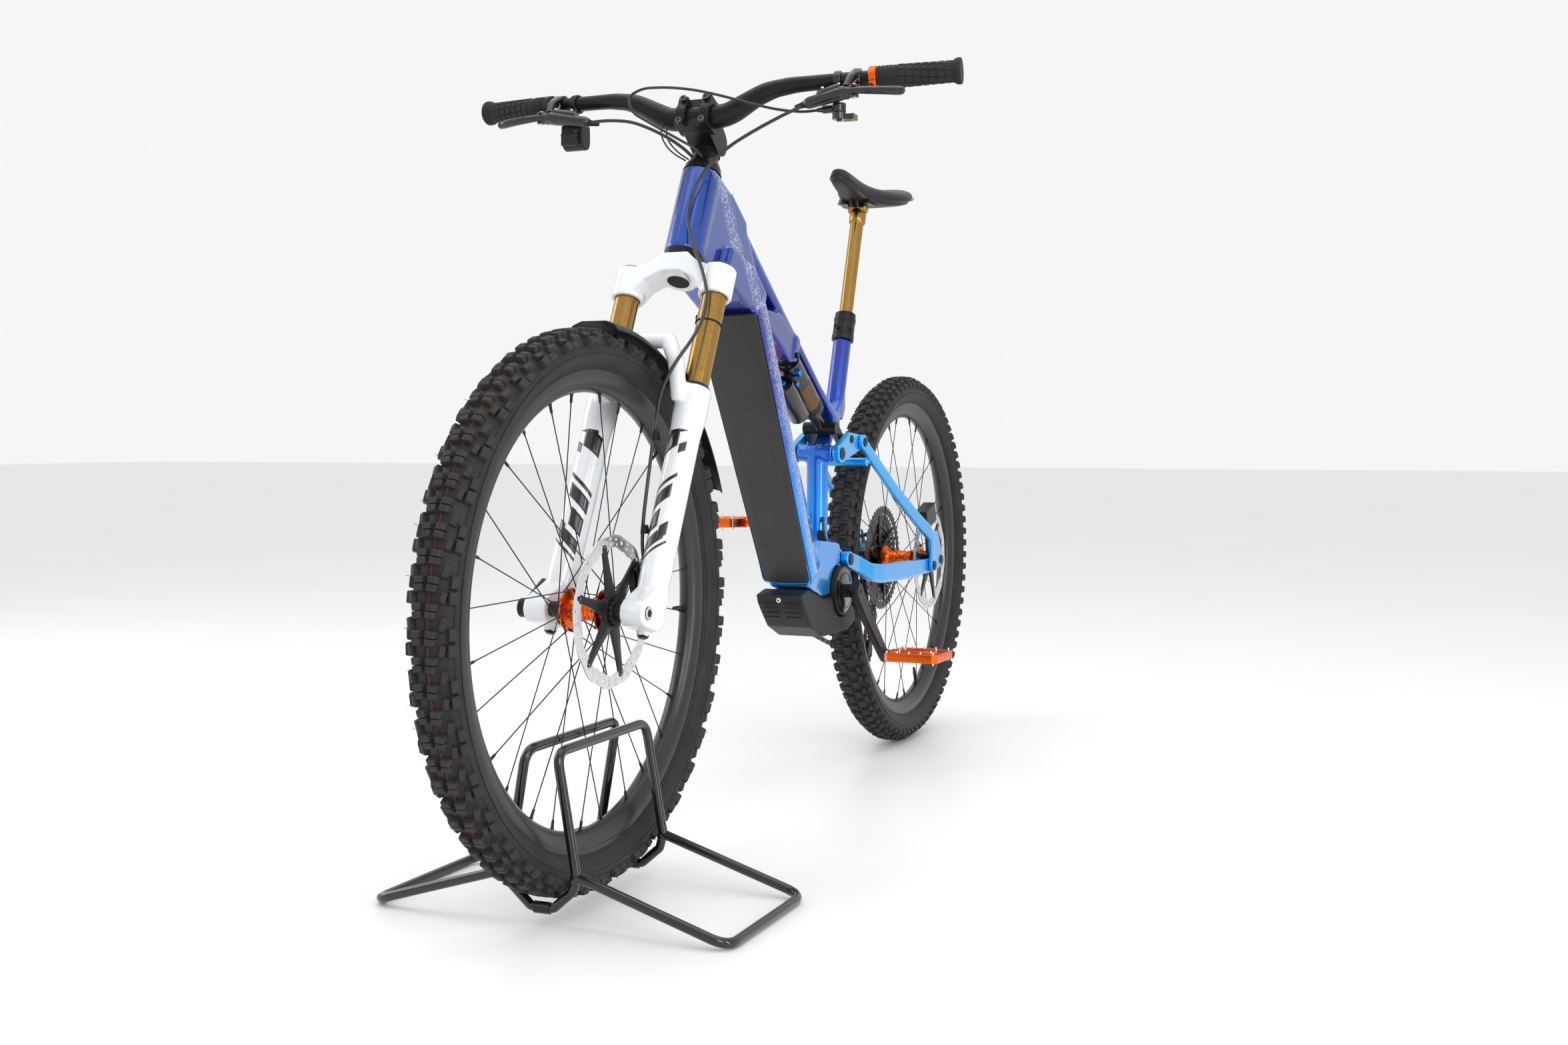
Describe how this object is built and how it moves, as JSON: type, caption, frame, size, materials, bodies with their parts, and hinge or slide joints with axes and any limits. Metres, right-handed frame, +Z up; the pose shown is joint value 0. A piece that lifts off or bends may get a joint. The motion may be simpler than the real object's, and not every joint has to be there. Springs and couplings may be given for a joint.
{
  "type": "bicycle on stand",
  "caption": "Full-suspension electric mountain bicycle held upright by a folding wire display stand under its front wheel.",
  "frame": {"origin": "on the floor, below the middle of the bicycle's length and on its centre plane", "axes": "+X ahead along the bicycle, +Y to the rider's left, +Z up"},
  "size_m": [2.0337, 0.7922, 1.1578],
  "materials": {
    "frame_paint": "gloss metallic",
    "rear_paint": "gloss metallic",
    "fork_white": "gloss",
    "gold": "anodised",
    "orange": "anodised",
    "black_metal": "satin",
    "black_steel": "gloss",
    "steel": "brushed",
    "dark_steel": "satin",
    "tyre": "matt",
    "rubber": "matt",
    "cover_plastic": "matt, fine texture",
    "black_plastic": "satin",
    "saddle_skin": "matt",
    "hose": "satin",
    "carbon": "satin"
  },
  "bodies": {
    "frame": {"front_triangle": "frame_paint", "battery_pack": "black_plastic", "battery_cover": "cover_plastic", "motor_unit": "black_plastic", "skid_plate": "black_plastic", "headset": "black_metal", "seat_collar": "black_metal", "frame_pivots": "black_metal"},
    "steering": {"fork_crown": "fork_white", "stanchions": "gold", "stem": "black_metal", "stem_faceplate": "black_metal", "handlebar": "black_metal", "grips": "rubber", "grip_collars": "orange", "brake_masters": "black_metal", "shifter_pod": "black_plastic", "dropper_remote": "black_metal", "front_brake_hose": "hose", "rear_brake_hose": "hose", "control_cables": "hose"},
    "left_brake_lever": {"brake_lever_left": "black_metal"},
    "right_brake_lever": {"brake_lever_right": "black_metal"},
    "shift_paddle": {"shift_lever": "black_plastic"},
    "dropper_paddle": {"dropper_lever": "black_metal"},
    "fork_slider": {"fork_lowers": "fork_white", "mudguard": "black_plastic", "front_calliper": "black_metal"},
    "thru_axle": {"front_axle": "black_metal"},
    "front_wheel": {"front_tyre": "tyre", "front_rim": "carbon", "front_hub": "orange", "front_spokes": "dark_steel", "front_rotor": "steel"},
    "rear_wheel": {"rear_tyre": "tyre", "rear_rim": "carbon", "rear_hub": "orange", "rear_spokes": "dark_steel", "rear_rotor": "steel"},
    "cassette_body": {"cassette": "dark_steel"},
    "crank": {"crankset": "black_metal", "chainring": "dark_steel"},
    "left_pedal": {"pedal_left": "orange"},
    "right_pedal": {"pedal_right": "orange"},
    "swingarm": {"chainstay": "rear_paint", "chain": "steel"},
    "stay": {"seatstay": "rear_paint", "rear_calliper": "black_metal", "derailleur": "black_metal"},
    "cage": {"derailleur_cage": "black_metal"},
    "upper_guide": {"jockey_upper": "black_plastic"},
    "lower_guide": {"jockey_lower": "black_plastic"},
    "rocker_link": {"rocker": "rear_paint"},
    "shock_can": {"shock_body": "black_metal"},
    "shock_rod": {"shock_shaft": "gold"},
    "seatpost": {"dropper_post": "gold", "saddle": "saddle_skin"},
    "stand_centre": {"stand_springs": "black_steel"},
    "stand_half_left": {"stand_left": "black_steel"},
    "stand_half_right": {"stand_right": "black_steel"}
  },
  "joints": [
    {"name": "steering_turn", "type": "hinge", "parent": "frame", "child": "steering", "pos_m": [0.32648, 0, 0.94758], "axis": [-0.4357, 0, 0.9001], "range_deg": [-55, 55], "deforming": ["rear_brake_hose", "control_cables"]},
    {"name": "fork_travel", "type": "slide", "parent": "steering", "child": "fork_slider", "axis": [-0.4357, 0, 0.9001], "range_m": [0, 0.14], "stiffness_N_per_m": 5200, "springref_m": -0.05, "deforming": ["front_brake_hose"]},
    {"name": "front_wheel_spin", "type": "hinge", "parent": "fork_slider", "child": "front_wheel", "pos_m": [0.64493, 0, 0.3907], "axis": [0, 1, 0], "continuous": true},
    {"name": "thru_axle_turn", "type": "hinge", "parent": "fork_slider", "child": "thru_axle", "pos_m": [0.64493, 0, 0.3907], "axis": [0, 1, 0], "range_deg": [-100, 20]},
    {"name": "left_brake_pull", "type": "hinge", "parent": "steering", "child": "left_brake_lever", "pos_m": [0.33049, 0.256, 1.10922], "axis": [-0.0145, 0, 0.9999], "range_deg": [0, 16], "stiffness_Nm_per_rad": 1.2, "springref_deg": -5.73},
    {"name": "right_brake_pull", "type": "hinge", "parent": "steering", "child": "right_brake_lever", "pos_m": [0.33049, -0.256, 1.10922], "axis": [0.0145, 0, -0.9999], "range_deg": [0, 16], "stiffness_Nm_per_rad": 1.2, "springref_deg": -5.73},
    {"name": "shift_push", "type": "hinge", "parent": "steering", "child": "shift_paddle", "pos_m": [0.31816, -0.214, 1.08304], "axis": [0, -1, 0], "range_deg": [0, 12], "stiffness_Nm_per_rad": 0.3, "springref_deg": -5.73},
    {"name": "dropper_push", "type": "hinge", "parent": "steering", "child": "dropper_paddle", "pos_m": [0.31091, 0.226, 1.07993], "axis": [0.0145, 0, -0.9999], "range_deg": [0, 14], "stiffness_Nm_per_rad": 0.5, "springref_deg": -5.73},
    {"name": "rear_suspension", "type": "hinge", "parent": "frame", "child": "swingarm", "pos_m": [-0.22029, 0, 0.40016], "axis": [0, 1, 0], "range_deg": [0, 19], "stiffness_Nm_per_rad": 1700, "springref_deg": -4.58, "deforming": ["chain"]},
    {"name": "horst_pivot", "type": "hinge", "parent": "swingarm", "child": "stay", "pos_m": [-0.59979, 0, 0.36265], "axis": [0, -1, 0], "range_deg": [0, 12]},
    {"name": "rocker_pivot", "type": "hinge", "parent": "frame", "child": "rocker_link", "pos_m": [-0.17105, 0, 0.59089], "axis": [0, 1, 0], "range_deg": [0, 55]},
    {"name": "shock_pivot", "type": "hinge", "parent": "frame", "child": "shock_can", "pos_m": [-0.02245, 0, 0.75706], "axis": [0, 1, 0], "range_deg": [-3, 3]},
    {"name": "shock_stroke", "type": "slide", "parent": "shock_can", "child": "shock_rod", "axis": [0.812, 0, 0.5836], "range_m": [0, 0.047]},
    {"name": "rear_wheel_spin", "type": "hinge", "parent": "stay", "child": "rear_wheel", "pos_m": [-0.64493, 0, 0.372], "axis": [0, 1, 0], "continuous": true},
    {"name": "crank_turn", "type": "hinge", "parent": "frame", "child": "crank", "pos_m": [-0.19251, 0, 0.34606], "axis": [0, 1, 0], "continuous": true},
    {"name": "cassette_turn", "type": "hinge", "parent": "stay", "child": "cassette_body", "pos_m": [-0.64493, 0, 0.372], "axis": [0, 1, 0], "continuous": true},
    {"name": "left_pedal_spin", "type": "hinge", "parent": "crank", "child": "left_pedal", "pos_m": [-0.29971, 0, 0.22149], "axis": [0, 1, 0], "continuous": true},
    {"name": "right_pedal_spin", "type": "hinge", "parent": "crank", "child": "right_pedal", "pos_m": [-0.0853, 0, 0.47062], "axis": [0, 1, 0], "continuous": true},
    {"name": "cage_swing", "type": "hinge", "parent": "stay", "child": "cage", "pos_m": [-0.61922, 0, 0.25436], "axis": [0, -1, 0], "range_deg": [0, 25], "stiffness_Nm_per_rad": 0.8, "springref_deg": -8.59},
    {"name": "upper_guide_spin", "type": "hinge", "parent": "cage", "child": "upper_guide", "pos_m": [-0.61922, 0, 0.25436], "axis": [0, 1, 0], "continuous": true},
    {"name": "lower_guide_spin", "type": "hinge", "parent": "cage", "child": "lower_guide", "pos_m": [-0.58421, 0, 0.18486], "axis": [0, 1, 0], "continuous": true},
    {"name": "post_drop", "type": "slide", "parent": "frame", "child": "seatpost", "axis": [0.3209, 0, -0.9471], "range_m": [0, 0.15]},
    {"name": "stand_release", "type": "slide", "parent": "fork_slider", "child": "stand_centre", "axis": [0, 0, -1], "range_m": [0, 0.35]},
    {"name": "stand_open_left", "type": "hinge", "parent": "stand_centre", "child": "stand_half_left", "pos_m": [0.64672, 0, 0.0256], "axis": [-1, 0, 0], "range_deg": [0, 20]},
    {"name": "stand_open_right", "type": "hinge", "parent": "stand_centre", "child": "stand_half_right", "pos_m": [0.64672, 0, 0.0256], "axis": [1, 0, 0], "range_deg": [0, 20]}
  ],
  "couplings": [
    {"joint": "horst_pivot", "follows": "rear_suspension", "ratio": 0.47489},
    {"joint": "rocker_pivot", "follows": "rear_suspension", "ratio": 2.5466},
    {"joint": "shock_pivot", "follows": "rear_suspension", "ratio": 0.023249},
    {"joint": "shock_stroke", "follows": "rear_suspension", "m_per_rad": 0.13266},
    {"joint": "cassette_turn", "follows": "crank_turn", "ratio": 1.3077},
    {"joint": "upper_guide_spin", "follows": "crank_turn", "ratio": -2.8333},
    {"joint": "lower_guide_spin", "follows": "crank_turn", "ratio": 2.8333},
    {"joint": "stand_open_left", "follows": "stand_release", "rad_per_m": 0.873},
    {"joint": "stand_open_right", "follows": "stand_release", "rad_per_m": 0.873}
  ]
}
